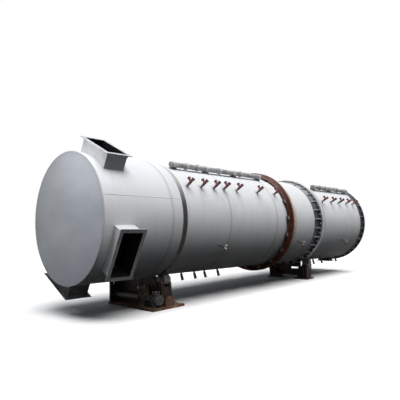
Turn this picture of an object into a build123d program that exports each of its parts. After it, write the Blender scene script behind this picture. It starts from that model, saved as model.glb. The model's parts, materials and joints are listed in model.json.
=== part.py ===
from build123d import *
import os
from math import atan, cos, pi, radians, sin, sqrt

# Rotary kiln, in millimetres, +Z up. The origin is on the ground under the kiln axis,
# at the middle plane of the front tyre. +X runs along the kiln towards its open end.

# Lie of the kiln: the axis falls towards the open end, the drum stands turned about it
axis_slope_share = 0.018
drum_turn_angle = 27.0

# Clearances
running_gap = 0.3
seat_gap = 0.4
cut_overrun = 40.0

# Drum shell, one inside radius all along
shell_radius = 1100.0
shell_wall = 16.0
shell_start = -330.0
front_seam = 1294.0
middle_seam = 2945.0
shell_end = 7665.0

# Ducted head that laps over the front end of the shell
head_lap = 25.0
head_start = -1724.0
head_end = -72.0
end_plate_thickness = 16.0
end_plate_lip = 5.0
duct_angles = {"top_duct": 0.0, "side_duct": 90.0, "bottom_duct": 180.0}
duct_middle = -1348.0
duct_axial = 370.0
duct_cross = 765.0
duct_wall = 8.0
duct_height = 209.0
duct_flange_width = 66.0
duct_flange_thickness = 10.0
duct_flange_leg = 46.0

# Small flanged chute under the rear course
chute_angle = 153.0
chute_middle = 7270.0
chute_axial = 200.0
chute_cross = 340.0
chute_height = 95.0
chute_flange_width = 60.0

# Tyres, bands that stand a little proud of the shell
tyre_height = 10.0
tyre_width = 110.0
rear_tyre_middle = 5163.0

# Girth gear on lugs
gear_middle = 3417.0
gear_width = 130.0
gear_teeth = 174
gear_rim = 66.0
tooth_tip_share = 0.30
tooth_root_share = 0.62
tooth_depth_share = 2.25
lug_count = 18
lug_width = 76.0
lug_height = 36.0
lug_side_length = 40.0
lug_side_height = 24.0

# Bolted joint of the two drum sections, its front flange on a band with gussets
joint_middle = 4948.0
band_height = 12.0
joint_flange_height = 70.0
joint_flange_thickness = 60.0
joint_gusset_length = 228.0
gusset_count = 20
gusset_thickness = 16.0
gusset_toe_height = 10.0

# End flange on a band with gussets, with open bolt holes
end_flange_height = 60.0
end_flange_thickness = 40.0
end_gusset_length = 145.0
end_bolt_circle_height = 36.0
end_bolt_hole_radius = 11.0

# Header pipes along the drum, on saddles
header_radius = 54.0
header_standoff = 32.0
header_wall = 5.0
front_header_start = 160.0
front_header_end = 3090.0
front_header_angle = 0.0
front_saddle_count = 4
rear_header_start = 5330.0
rear_header_end = 7450.0
rear_header_angle = 8.0
rear_saddle_count = 3
saddle_length = 110.0
saddle_width = 96.0
saddle_inset = 40.0

# Nozzle rows on the shell: tees above, slim crossed ends at the side, plain stubs below
stub_radius = 20.0
fitting_radius = 28.0
fitting_start = 50.0
tee_length = 148.0
bottom_length = 100.0
branch_radius = 24.0
branch_offset = 78.0
branch_length = 84.0
cap_radius = 34.0
slim_share = 0.55
cross_drop = 20.0
cross_half = 60.0
cap_thickness = 12.0
front_places = (227.0, 601.0, 968.0, 1271.0, 1687.0, 2415.0, 3089.0)
rear_places = (5350.0, 5850.0, 6322.0, 6796.0, 7228.0)
side_places = (1042.0, 3973.0, 6354.0)
front_row_angle = 29.5
rear_row_angle = 33.5
side_row_angle = 90.0
bottom_row_angle = 135.0

# Support rollers and their bearings
front_roller_height = 526.0
roller_radius = 118.0
roller_width = 120.0
front_roller_angle = 24.0
rear_roller_angle = 26.0
roller_edge = 6.0
shaft_radius = 40.0
shaft_overhang = 14.0
bearing_gap = 8.0
bearing_width = 55.0
bearing_radius = 66.0
bearing_foot_width = 160.0
bearing_foot_height = 26.0
bearing_seat_drop = 75.0
roller_clearance = 22.0

# Stands and bases on the ground
base_thickness = 45.0
front_base_length = 763.0
front_base_shift = -51.0
base_overhang = 189.0
base_anchor_inset = 40.0
base_anchor_side = 150.0
stand_length = 250.0
front_foot_width = 220.0
rear_foot_width = 300.0
stand_top_width = 160.0
anchor_hole_radius = 14.0
rear_plate_length = 360.0
rear_plate_width = 406.0
rear_plate_thickness = 34.0
plate_anchor_inset = 27.0
pedestal_lean = 100.0
tie_beam_height = 150.0
tie_beam_width = 120.0
tie_beam_web = 14.0
tie_beam_rise = 82.0
housing_gap = 10.0
housing_length = 220.0
housing_depth = 64.0
housing_height = 180.0
housing_round = 85.0
apron_thickness = 16.0
apron_gap = 4.0
apron_height = 450.0
apron_shoulder = 70.0
apron_drop = 60.0
apron_end_height = 330.0
apron_edge = 40.0

# Roller drive on the front base
drive_x = -270.0
drive_height = 180.0
motor_edge = 19.0
motor_length = 170.0
motor_radius = 100.0
motor_neck_radius = 60.0
motor_neck_length = 200.0
fin_count = 18
fin_depth = 14.0
fin_thickness = 9.0
reducer_length = 116.0
reducer_width = 140.0
reducer_height = 340.0
reducer_rib_count = 5
reducer_rib_depth = 12.0
reducer_rib_thickness = 12.0
cross_shaft_radius = 66.0
cross_stub_radius = 42.0
cross_stub_length = 140.0
post_edge = 32.0
post_thickness = 36.0
post_length = 88.0
post_height = 340.0
post_plate_length = 150.0
post_plate_height = 210.0

slope = atan(axis_slope_share)
axis_dir = Vector(cos(slope), 0, -sin(slope))
up_dir = Vector(sin(slope), 0, cos(slope))
near_dir = Vector(0, -1, 0)
shell_bore = shell_radius - shell_wall
head_radius = shell_radius + head_lap
duct_reach = head_radius + duct_height
tyre_radius = shell_radius + tyre_height
tyre_half = tyre_width / 2
band_radius = shell_radius + band_height
roller_half = roller_width / 2
roller_reach = tyre_radius + running_gap + roller_radius
bearing_start = roller_half + bearing_gap
axis_height = front_roller_height + roller_reach * cos(radians(front_roller_angle)) * cos(slope)
os.makedirs("parts", exist_ok=True)


def on_axis(x):
    return Vector(0, 0, axis_height) + axis_dir * x


def radial(angle):
    turned = radians(angle + drum_turn_angle)
    return up_dir * cos(turned) + near_dir * sin(turned)


def cross_plane(x, angle=0):
    return Plane(origin=on_axis(x), x_dir=radial(angle), z_dir=axis_dir)


def radial_plane(x, angle, reach):
    return Plane(origin=on_axis(x) + radial(angle) * reach, x_dir=axis_dir, z_dir=radial(angle))


def rib_plane(x, angle):
    return Plane(origin=on_axis(x), x_dir=axis_dir, z_dir=radial(angle - 90))


def chord_drop(radius, half_width):
    return sqrt(radius**2 - half_width**2)


def save(piece, label):
    piece.part.label = label
    export_step(piece.part, f"parts/{label}.step")


def ring(start, end, outer, inner):
    with BuildPart() as piece:
        with BuildSketch(cross_plane(start)):
            Circle(outer)
            Circle(inner, mode=Mode.SUBTRACT)
        extrude(amount=end - start)
    return piece


# Shell courses, welded end to end; the rear one opens into the chute
seams = (front_seam, middle_seam, joint_middle)
course_starts = (shell_start,) + seams
course_names = ("front_course", "middle_course", "gear_course")
for name, start, end in zip(course_names, course_starts, seams):
    save(ring(start, end, shell_radius, shell_bore), name)
rear_blank = ring(joint_middle, shell_end, shell_radius, shell_bore)
with BuildPart() as rear_course:
    add(rear_blank.part)
    with BuildSketch(radial_plane(chute_middle, chute_angle, 0)):
        Rectangle(chute_axial, chute_cross)
    extrude(amount=shell_radius + cut_overrun, mode=Mode.SUBTRACT)
save(rear_course, "rear_course")

# Head: end plate, and a shell with an opening for each duct
with BuildPart() as end_plate:
    with BuildSketch(cross_plane(head_start)):
        Circle(head_radius + end_plate_lip)
    extrude(amount=end_plate_thickness)
save(end_plate, "end_plate")

head_shell_start = head_start + end_plate_thickness
with BuildPart() as head_shell:
    with BuildSketch(cross_plane(head_shell_start)):
        Circle(head_radius)
        Circle(shell_radius + seat_gap, mode=Mode.SUBTRACT)
    extrude(amount=head_end - head_shell_start)
    for angle in duct_angles.values():
        with BuildSketch(radial_plane(duct_middle, angle, 0)):
            Rectangle(duct_axial, duct_cross)
        extrude(amount=head_radius + cut_overrun, mode=Mode.SUBTRACT)
save(head_shell, "head_shell")


# Duct: four walls cut to the round they stand on, and an angle-iron flange on their end
def duct(middle, angle, axial, cross, host_radius, reach):
    outer_axial = axial + 2 * duct_wall
    outer_cross = cross + 2 * duct_wall
    foot = chord_drop(host_radius, outer_cross / 2) - duct_wall
    with BuildPart() as piece:
        with BuildSketch(radial_plane(middle, angle, foot)):
            Rectangle(outer_axial, outer_cross)
            Rectangle(axial, cross, mode=Mode.SUBTRACT)
        extrude(amount=reach - foot)
        with BuildSketch(cross_plane(middle - axial)):
            Circle(host_radius)
        extrude(amount=2 * axial, mode=Mode.SUBTRACT)
    return piece


def duct_flange(middle, angle, axial, cross, reach, brim):
    outer_axial = axial + 2 * duct_wall
    outer_cross = cross + 2 * duct_wall
    with BuildPart() as piece:
        with BuildSketch(radial_plane(middle, angle, reach - duct_flange_leg)):
            leg = 2 * duct_flange_thickness
            Rectangle(outer_axial + leg, outer_cross + leg)
            Rectangle(outer_axial, outer_cross, mode=Mode.SUBTRACT)
        extrude(amount=duct_flange_leg)
        with BuildSketch(radial_plane(middle, angle, reach - duct_flange_thickness)):
            Rectangle(axial + 2 * brim, cross + 2 * brim)
            Rectangle(outer_axial, outer_cross, mode=Mode.SUBTRACT)
        extrude(amount=duct_flange_thickness)
    return piece


for name, angle in duct_angles.items():
    save(duct(duct_middle, angle, duct_axial, duct_cross, head_radius, duct_reach), name)
    flange = duct_flange(duct_middle, angle, duct_axial, duct_cross, duct_reach, duct_flange_width)
    save(flange, f"{name}_flange")
chute_reach = shell_radius + chute_height
save(duct(chute_middle, chute_angle, chute_axial, chute_cross, shell_radius, chute_reach), "rear_chute")
chute_flange = duct_flange(chute_middle, chute_angle, chute_axial, chute_cross, chute_reach, chute_flange_width)
save(chute_flange, "rear_chute_flange")

# Tyres
for name, middle in (("front_tyre", 0), ("rear_tyre", rear_tyre_middle)):
    save(ring(middle - tyre_half, middle + tyre_half, tyre_radius, shell_radius + seat_gap), name)

# Girth gear: straight-sided teeth round a rim
gear_bore = shell_radius + lug_height
gear_root = gear_bore + gear_rim
gear_module = gear_root / ((gear_teeth + 2) / 2 - tooth_depth_share)
gear_tip = gear_root + gear_module * tooth_depth_share
gear_start = gear_middle - gear_width / 2
gear_end = gear_middle + gear_width / 2


def tooth_corners(index):
    pitch = 2 * pi / gear_teeth
    corners = (
        (gear_root, -tooth_root_share / 2),
        (gear_tip, -tooth_tip_share / 2),
        (gear_tip, tooth_tip_share / 2),
        (gear_root, tooth_root_share / 2),
    )
    return [
        (reach * cos(pitch * (index + turn_share)), reach * sin(pitch * (index + turn_share)))
        for reach, turn_share in corners
    ]


with BuildPart() as girth_gear:
    with BuildSketch(cross_plane(gear_start)):
        with BuildLine():
            outline = [corner for index in range(gear_teeth) for corner in tooth_corners(index)]
            Polyline(*outline, close=True)
        make_face()
        Circle(gear_bore, mode=Mode.SUBTRACT)
    extrude(amount=gear_width)
save(girth_gear, "girth_gear")

# Lugs: a pad under the gear, with a stop block that holds its side
with BuildPart() as gear_lugs:
    lug_blocks = (
        (gear_start - lug_side_length, lug_side_length, gear_bore + lug_side_height),
        (gear_start, gear_width + lug_side_length, gear_bore - seat_gap),
    )
    for start, length, top in lug_blocks:
        with BuildSketch(cross_plane(start)):
            with PolarLocations(radius=(shell_bore + top) / 2, count=lug_count):
                Rectangle(top - shell_bore, lug_width)
            Circle(top, mode=Mode.INTERSECT)
            Circle(shell_radius, mode=Mode.SUBTRACT)
        extrude(amount=length)
save(gear_lugs, "gear_lugs")

# Flange on a band, and gussets that run from the band's edge up to the flange
def flanged_band(start, flange_start, end, flange_radius):
    with BuildPart() as piece:
        for foot, outer in ((start, band_radius), (flange_start, flange_radius)):
            with BuildSketch(cross_plane(foot)):
                Circle(outer)
                Circle(shell_radius + seat_gap, mode=Mode.SUBTRACT)
            extrude(amount=end - foot)
    return piece


def gussets(toe, heel, top):
    with BuildPart() as piece:
        for index in range(gusset_count):
            with BuildSketch(rib_plane(toe, index * 360 / gusset_count)):
                with BuildLine():
                    run = heel - toe
                    Polyline(
                        (0, band_radius),
                        (run, band_radius),
                        (run, top),
                        (0, band_radius + gusset_toe_height),
                        close=True,
                    )
                make_face()
            extrude(amount=gusset_thickness / 2, both=True)
    return piece


# Bolted joint of the two drum sections
joint_flange_radius = shell_radius + joint_flange_height
joint_flange_start = joint_middle - joint_flange_thickness
joint_toe = joint_flange_start - joint_gusset_length
joint_end = joint_middle + joint_flange_thickness
save(flanged_band(joint_toe, joint_flange_start, joint_middle, joint_flange_radius), "joint_front_flange")
save(ring(joint_middle, joint_end, joint_flange_radius, shell_radius + seat_gap), "joint_rear_flange")
save(gussets(joint_toe, joint_flange_start, joint_flange_radius), "joint_gussets")

# End flange, with a bolt hole in each bay
end_flange_radius = shell_radius + end_flange_height
end_flange_start = shell_end - end_flange_thickness
end_toe = end_flange_start - end_gusset_length
blank = flanged_band(end_toe, end_flange_start, shell_end, end_flange_radius)
with BuildPart() as end_flange:
    add(blank.part)
    with BuildSketch(cross_plane(end_flange_start)):
        bay_turn = 180 / gusset_count
        with PolarLocations(shell_radius + end_bolt_circle_height, gusset_count, start_angle=bay_turn):
            Circle(end_bolt_hole_radius)
    extrude(amount=end_flange_thickness, mode=Mode.SUBTRACT)
save(end_flange, "end_flange")
save(gussets(end_toe, end_flange_start, end_flange_radius), "end_gussets")

# Header pipes and the saddles that carry them
header_reach = shell_radius + header_standoff + header_radius


headers = (
    (front_header_start, front_header_end, front_header_angle, front_saddle_count),
    (rear_header_start, rear_header_end, rear_header_angle, rear_saddle_count),
)
with BuildPart() as header_pipes:
    for start, end, angle, count in headers:
        with BuildSketch(cross_plane(start, angle)):
            with Locations((header_reach, 0)):
                Circle(header_radius)
                Circle(header_radius - header_wall, mode=Mode.SUBTRACT)
        extrude(amount=end - start)
save(header_pipes, "header_pipes")

saddle_foot = chord_drop(shell_radius, saddle_width / 2)
with BuildPart() as header_saddles:
    for start, end, angle, count in headers:
        spacing = (end - start - 2 * saddle_inset - saddle_length) / (count - 1)
        for index in range(count):
            with BuildSketch(cross_plane(start + saddle_inset + index * spacing, angle)):
                with Locations(((saddle_foot + header_reach) / 2, 0)):
                    Rectangle(header_reach - saddle_foot, saddle_width)
                Circle(shell_radius, mode=Mode.SUBTRACT)
                with Locations((header_reach, 0)):
                    Circle(header_radius + running_gap, mode=Mode.SUBTRACT)
            extrude(amount=saddle_length)
save(header_saddles, "header_saddles")


# Nozzles: a stub on the shell, a fitting on the stub, branches at its sides, caps on the open ends
fitting_foot = shell_radius + fitting_start


def nozzle_row(angle, places, length, branch_reach, branches, size_share):
    branch_half = branch_radius * size_share
    cap_half = cap_radius * size_share
    with BuildPart() as piece:
        for x in places:
            rounds = (
                (shell_bore, fitting_foot - shell_bore, stub_radius * size_share),
                (fitting_foot, length, fitting_radius * size_share),
                (fitting_foot + length, cap_thickness, cap_half),
            )
            for foot, run, radius in rounds:
                with BuildSketch(radial_plane(x, angle, foot)):
                    Circle(radius)
                extrude(amount=run)
            middle = on_axis(x) + radial(angle) * branch_reach
            for turn, span in branches:
                out = radial(angle + turn)
                for foot, run, radius in ((0, span, branch_half), (span, cap_thickness, cap_half)):
                    with BuildSketch(Plane(origin=middle + out * foot, x_dir=axis_dir, z_dir=out)):
                        Circle(radius)
                    extrude(amount=run)
        with BuildSketch(cross_plane(places[0] - cut_overrun)):
            Circle(shell_radius)
        extrude(amount=places[-1] - places[0] + 2 * cut_overrun, mode=Mode.SUBTRACT)
    return piece


tee_reach = fitting_foot + branch_offset
tee_branch = ((-90, branch_length),)
cross_reach = fitting_foot + tee_length - cross_drop
crossbar = ((-90, cross_half), (90, cross_half))
bottom_places = front_places[1:5] + rear_places[1:3] + rear_places[-1:]
tee_rows = [
    nozzle_row(angle, places, tee_length, tee_reach, tee_branch, 1)
    for angle, places in ((front_row_angle, front_places), (rear_row_angle, rear_places))
]
with BuildPart() as upper_nozzles:
    for row in tee_rows:
        add(row.part)
save(upper_nozzles, "upper_nozzles")
save(nozzle_row(side_row_angle, side_places, tee_length, cross_reach, crossbar, slim_share), "side_nozzles")
save(nozzle_row(bottom_row_angle, bottom_places, bottom_length, fitting_foot, (), 1), "bottom_nozzles")


# Support rollers: side -1 is near, +1 is far; each station is its place along the axis and its roller angle
def roller_side(swing):
    return roller_reach * sin(radians(swing))


def roller_centre(station, side):
    x, swing = station
    return on_axis(x) - up_dir * (roller_reach * cos(radians(swing))) - near_dir * (side * roller_side(swing))


def roller(station, side):
    centre = roller_centre(station, side)
    shaft_half = bearing_start + bearing_width + shaft_overhang
    with BuildPart() as piece:
        with BuildSketch(Plane(origin=centre - axis_dir * roller_half, x_dir=up_dir, z_dir=axis_dir)):
            Circle(roller_radius)
        extrude(amount=roller_width)
        chamfer(piece.edges(), length=roller_edge)
        with BuildSketch(Plane(origin=centre - axis_dir * shaft_half, x_dir=up_dir, z_dir=axis_dir)):
            Circle(shaft_radius)
        extrude(amount=2 * shaft_half)
    return piece


def stand_top(station):
    return roller_centre(station, 1).Z - bearing_seat_drop


def bearings(station):
    with BuildPart() as piece:
        for side in sides.values():
            centre = roller_centre(station, side)
            for start in (-bearing_start - bearing_width, bearing_start):
                origin = centre + axis_dir * start
                with BuildSketch(Plane(origin=origin, x_dir=-near_dir, z_dir=axis_dir)):
                    Circle(bearing_radius)
                    with Locations((0, -bearing_radius)):
                        Rectangle(2 * bearing_radius, 2 * bearing_radius)
                    with Locations((0, -bearing_seat_drop)):
                        Rectangle(bearing_foot_width, 2 * bearing_foot_height)
                    Circle(shaft_radius + running_gap, mode=Mode.SUBTRACT)
                extrude(amount=bearing_width)
        split(bisect_by=Plane.XY.offset(stand_top(station)), keep=Keep.TOP)
    return piece


# Stand: a tapered block, with a slot in which the roller turns
def stand(station, side, floor, middle, foot_width):
    centre = roller_centre(station, side)
    top = stand_top(station)
    slot_floor = centre.Z - roller_radius - roller_clearance
    with BuildPart() as piece:
        with BuildSketch(Plane.YZ.offset(centre.X - stand_length / 2)):
            with BuildLine():
                Polyline(
                    (middle * side - foot_width / 2, floor),
                    (middle * side + foot_width / 2, floor),
                    (centre.Y + stand_top_width / 2, top),
                    (centre.Y - stand_top_width / 2, top),
                    close=True,
                )
            make_face()
        extrude(amount=stand_length)
        with BuildSketch(Plane.YZ.offset(centre.X - bearing_start)):
            with Locations((centre.Y, slot_floor + roller_radius)):
                Rectangle(2 * foot_width, 2 * roller_radius)
        extrude(amount=2 * bearing_start, mode=Mode.SUBTRACT)
    return piece


stations = {"front": (0.0, front_roller_angle), "rear": (rear_tyre_middle, rear_roller_angle)}
sides = {"near": -1, "far": 1}
for name, station in stations.items():
    for side_name, side in sides.items():
        save(roller(station, side), f"{name}_roller_{side_name}")
    save(bearings(station), f"{name}_bearings")

# Front station: one base plate under both stands
front_stand_middle = roller_side(front_roller_angle)
base_half = front_stand_middle + base_overhang
with BuildPart() as front_base:
    with BuildSketch(Plane.XY):
        with Locations((front_base_shift, 0)):
            Rectangle(front_base_length, 2 * base_half)
            anchor_x = front_base_length - 2 * base_anchor_inset
            anchor_y = 2 * (base_half - base_anchor_side)
            with GridLocations(anchor_x, anchor_y, 2, 2):
                Circle(anchor_hole_radius, mode=Mode.SUBTRACT)
    extrude(amount=base_thickness)
save(front_base, "front_base")

front_station = stations["front"]
stand_pair = [
    stand(front_station, side, base_thickness, front_stand_middle, front_foot_width) for side in sides.values()
]
with BuildPart() as front_stands:
    for piece in stand_pair:
        add(piece.part)
save(front_stands, "front_stands")

# Apron plate on the base before the two stands, from the near stand to the far edge
apron_face = roller_centre(front_station, 1).X - stand_length / 2 - apron_gap
apron_near = front_stand_middle - front_foot_width / 2
apron_far = base_half - apron_edge
apron_top = base_thickness + apron_height
with BuildPart() as front_apron:
    with BuildSketch(Plane.YZ.offset(apron_face - apron_thickness)):
        with BuildLine():
            Polyline(
                (-apron_near, base_thickness),
                (apron_far, base_thickness),
                (apron_far, base_thickness + apron_end_height),
                (apron_near, apron_top - apron_drop),
                (apron_near - apron_shoulder, apron_top),
                (apron_shoulder - apron_near, apron_top),
                (-apron_near, apron_top - apron_drop),
                close=True,
            )
        make_face()
    extrude(amount=apron_thickness)
save(front_apron, "front_apron")

# Round-shouldered housing on the base before the near stand
housing_back = front_stand_middle + front_foot_width / 2 + housing_gap
with BuildPart() as stand_housing:
    with BuildSketch(Plane.XZ.offset(housing_back)):
        with Locations((roller_centre(front_station, -1).X, base_thickness + housing_height / 2)):
            shoulder = Rectangle(housing_length, housing_height)
        fillet(shoulder.vertices().group_by(Axis.Y)[-1], housing_round)
    extrude(amount=housing_depth)
save(stand_housing, "stand_housing")

# Rear station: a pedestal with its own foot plate at each side, joined by a tie beam
rear_station = stations["rear"]
rear_x = roller_centre(rear_station, 1).X
rear_plate_middle = roller_side(rear_roller_angle) - pedestal_lean
for side_name, side in sides.items():
    body = stand(rear_station, side, rear_plate_thickness, rear_plate_middle, rear_foot_width)
    with BuildPart() as rear_pedestal:
        with BuildSketch(Plane.XY):
            with Locations((rear_x, side * rear_plate_middle)):
                Rectangle(rear_plate_length, rear_plate_width)
                plate_x = rear_plate_length - 2 * plate_anchor_inset
                plate_y = rear_plate_width - 2 * plate_anchor_inset
                with GridLocations(plate_x, plate_y, 2, 2):
                    Circle(anchor_hole_radius, mode=Mode.SUBTRACT)
        extrude(amount=rear_plate_thickness)
        add(body.part)
    save(rear_pedestal, f"rear_pedestal_{side_name}")


def pedestal_inner_face(height):
    foot = rear_plate_middle - rear_foot_width / 2
    top = roller_side(rear_roller_angle) - stand_top_width / 2
    rise = stand_top(rear_station) - rear_plate_thickness
    return foot + (top - foot) * (height - rear_plate_thickness) / rise


tie_low = pedestal_inner_face(tie_beam_rise)
tie_high = pedestal_inner_face(tie_beam_rise + tie_beam_height)
with BuildPart() as tie_beam:
    with BuildSketch(Plane.YZ.offset(rear_x - tie_beam_width / 2)):
        with BuildLine():
            Polyline(
                (-tie_low, tie_beam_rise),
                (tie_low, tie_beam_rise),
                (tie_high, tie_beam_rise + tie_beam_height),
                (-tie_high, tie_beam_rise + tie_beam_height),
                close=True,
            )
        make_face()
    extrude(amount=tie_beam_width)
    for start in (rear_x - tie_beam_width / 2, rear_x + tie_beam_web / 2):
        with BuildSketch(Plane.YZ.offset(start)):
            with Locations((0, tie_beam_rise + tie_beam_height / 2)):
                Rectangle(2 * tie_high, tie_beam_height - 2 * tie_beam_web)
        extrude(amount=(tie_beam_width - tie_beam_web) / 2, mode=Mode.SUBTRACT)
save(tie_beam, "tie_beam")

# Roller drive along the base: finned motor, ribbed reducer, cross shaft and its outboard post
drive_axis = Plane(origin=(drive_x, 0, drive_height), x_dir=(1, 0, 0), z_dir=(0, 1, 0))
motor_near = motor_edge - base_half
motor_far = motor_near + motor_length
reducer_near = motor_far + motor_neck_length
reducer_far = reducer_near + reducer_width
with BuildPart() as drive_motor:
    with BuildSketch(drive_axis.offset(motor_near)):
        Circle(motor_radius - fin_depth)
        with PolarLocations(motor_radius - fin_depth, fin_count):
            Rectangle(2 * fin_depth, fin_thickness)
    extrude(amount=motor_length)
    with BuildSketch(drive_axis.offset(motor_far)):
        Circle(motor_neck_radius)
    extrude(amount=motor_neck_length)
save(drive_motor, "drive_motor")

with BuildPart() as reducer:
    with BuildSketch(Plane.XY.offset(base_thickness)):
        with Locations((drive_x, (reducer_near + reducer_far) / 2)):
            Rectangle(reducer_length, reducer_width)
    extrude(amount=reducer_height)
    rib_pitch = (reducer_width - reducer_rib_thickness) / (reducer_rib_count - 1)
    with BuildSketch(Plane.XY.offset(base_thickness)):
        for index in range(reducer_rib_count):
            rib_y = reducer_near + reducer_rib_thickness / 2 + index * rib_pitch
            with Locations((drive_x, rib_y)):
                Rectangle(reducer_length + 2 * reducer_rib_depth, reducer_rib_thickness)
    extrude(amount=reducer_height - 2 * reducer_rib_depth)
save(reducer, "reducer")

post_far = base_half - post_edge
post_near = post_far - post_thickness
post_start = front_base_shift - front_base_length / 2
with BuildPart() as drive_post:
    with BuildSketch(Plane.XZ.offset(-post_far)):
        with Locations((post_start, base_thickness)):
            Rectangle(post_length, post_height, align=(Align.MIN, Align.MIN))
        with Locations((post_start + post_length, base_thickness)):
            Rectangle(post_plate_length, post_plate_height, align=(Align.MIN, Align.MIN))
        with Locations((drive_x, drive_height)):
            Circle(cross_stub_radius, mode=Mode.SUBTRACT)
    extrude(amount=post_thickness)
save(drive_post, "drive_post")

with BuildPart() as cross_shaft:
    with BuildSketch(drive_axis.offset(reducer_far)):
        Circle(cross_shaft_radius)
    extrude(amount=post_near - reducer_far)
    with BuildSketch(drive_axis.offset(post_near)):
        Circle(cross_stub_radius)
    extrude(amount=cross_stub_length)
save(cross_shaft, "cross_shaft")
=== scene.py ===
import bpy
import bmesh
import json
from math import atan, cos, pi, radians, sin, sqrt
from mathutils import Matrix, Vector


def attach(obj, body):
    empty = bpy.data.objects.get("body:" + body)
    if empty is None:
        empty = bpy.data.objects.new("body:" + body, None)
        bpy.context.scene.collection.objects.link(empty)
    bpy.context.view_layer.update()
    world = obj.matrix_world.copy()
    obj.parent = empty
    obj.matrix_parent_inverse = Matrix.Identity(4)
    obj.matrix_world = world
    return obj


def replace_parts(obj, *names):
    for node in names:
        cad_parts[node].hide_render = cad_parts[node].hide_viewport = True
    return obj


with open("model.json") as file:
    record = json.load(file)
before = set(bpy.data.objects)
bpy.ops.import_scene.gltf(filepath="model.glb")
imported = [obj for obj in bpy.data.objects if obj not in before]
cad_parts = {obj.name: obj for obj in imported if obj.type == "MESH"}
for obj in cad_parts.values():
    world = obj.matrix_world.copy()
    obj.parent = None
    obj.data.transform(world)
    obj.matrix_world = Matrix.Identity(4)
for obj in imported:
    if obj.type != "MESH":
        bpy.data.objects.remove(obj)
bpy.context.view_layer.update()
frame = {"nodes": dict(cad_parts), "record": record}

nodes = frame["nodes"]
scene = bpy.context.scene
print("frame loaded,", len(nodes), "nodes")

# the kiln's lie and its plates: the axis falls towards the open end, and the drum stands turned about it
kiln = {"axisHeight": 1.64793, "slopeShare": 0.018, "turn": 27,
        "shell": 1.1, "bore": 1.084, "seams": (1.294, 2.945),
        "head": 1.125, "headBore": 1.109, "headStart": -1.724, "headSeam": -0.309}
slope = atan(kiln["slopeShare"])
axisDir = Vector((cos(slope), 0, -sin(slope)))
upDir = Vector((sin(slope), 0, cos(slope)))
nearDir = Vector((0, -1, 0))


def onAxis(x):
    return Vector((0, 0, kiln["axisHeight"])) + axisDir * x


def radial(angle):
    turn = radians(angle + kiln["turn"])
    return upDir * cos(turn) + nearDir * sin(turn)


def around(x, angle, reach):
    return onAxis(x) + radial(angle) * reach


def frameFrom(origin, xDir, zDir):
    zDir = zDir.normalized()
    xDir = (xDir - zDir * xDir.dot(zDir)).normalized()
    m = Matrix((xDir, zDir.cross(xDir), zDir)).transposed().to_4x4()
    m.translation = origin
    return m


def addObject(name, data):
    obj = bpy.data.objects.new(name, data)
    bpy.context.collection.objects.link(obj)
    return obj


# camera at the photograph's viewing angle
camera = {"place": (-5.291, -6.533, 1.4732), "forward": (0.7213, 0.6897, 0.0643),
          "right": (0.692, -0.7215, -0.0236), "lens": 38.07, "sensor": 36, "farthest": 200}
camData = bpy.data.cameras.new("camera")
camData.lens = camera["lens"]
camData.sensor_width = camera["sensor"]
camData.clip_end = camera["farthest"]
camObj = addObject("camera", camData)
camObj.matrix_world = frameFrom(Vector(camera["place"]), Vector(camera["right"]), -Vector(camera["forward"]))
scene.camera = camObj
scene.view_settings.view_transform = "Standard"
print("camera set")


# one node, its settings and what feeds it
def addNode(tree, kind, feeds=None, **settings):
    n = tree.nodes.new("ShaderNode" + kind)
    for key, value in settings.items():
        setattr(n, key, value)
    for key, value in (feeds or {}).items():
        if isinstance(value, bpy.types.NodeSocket):
            tree.links.new(value, n.inputs[key])
        else:
            n.inputs[key].default_value = value
    return n


def addMath(tree, operation, a, b=0):
    return addNode(tree, "Math", {0: a, 1: b}, operation=operation).outputs[0]


def times(tree, a, b):
    return addMath(tree, "MULTIPLY", a, b)


def flip(tree, mask):
    return addMath(tree, "SUBTRACT", 1, mask)


def within(tree, value, middle, half):
    away = addMath(tree, "ABSOLUTE", addMath(tree, "SUBTRACT", value, middle))
    return addMath(tree, "LESS_THAN", away, half)


def addVector(tree, operation, a, b):
    n = addNode(tree, "VectorMath", {0: a, 1: b}, operation=operation)
    return n.outputs["Value" if operation in ("DOT_PRODUCT", "DISTANCE") else "Vector"]


def addRange(tree, value, low, high, toLow=0, toHigh=1):
    feeds = {0: value, 1: low, 2: high, 3: toLow, 4: toHigh}
    return addNode(tree, "MapRange", feeds, interpolation_type="SMOOTHSTEP").outputs[0]


def mixColor(tree, mask, a, b, amount=None):
    mask = mask if amount is None else times(tree, mask, amount)
    a = a if isinstance(a, bpy.types.NodeSocket) else (*a, 1)
    b = b if isinstance(b, bpy.types.NodeSocket) else (*b, 1)
    return addNode(tree, "Mix", {0: mask, 6: a, 7: b}, data_type="RGBA").outputs[2]


def objectPlace(tree):
    return addNode(tree, "TexCoord").outputs["Object"]


def spotOf(tree):
    return addNode(tree, "SeparateXYZ", {0: objectPlace(tree)}).outputs


def addNoise(tree, scale, detail=2, roughness=0.5, vector=None):
    spot = objectPlace(tree) if vector is None else vector
    feeds = {"Vector": spot, "Scale": scale, "Detail": detail, "Roughness": roughness}
    return addNode(tree, "TexNoise", feeds).outputs[0]


# what the eye sees straight or mirrored, as against light that bounces
def seenByEye(tree):
    path = addNode(tree, "LightPath").outputs
    direct = addMath(tree, "MAXIMUM", path["Is Camera Ray"], path["Is Glossy Ray"])
    return addMath(tree, "MAXIMUM", direct, path["Is Transmission Ray"])


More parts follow.
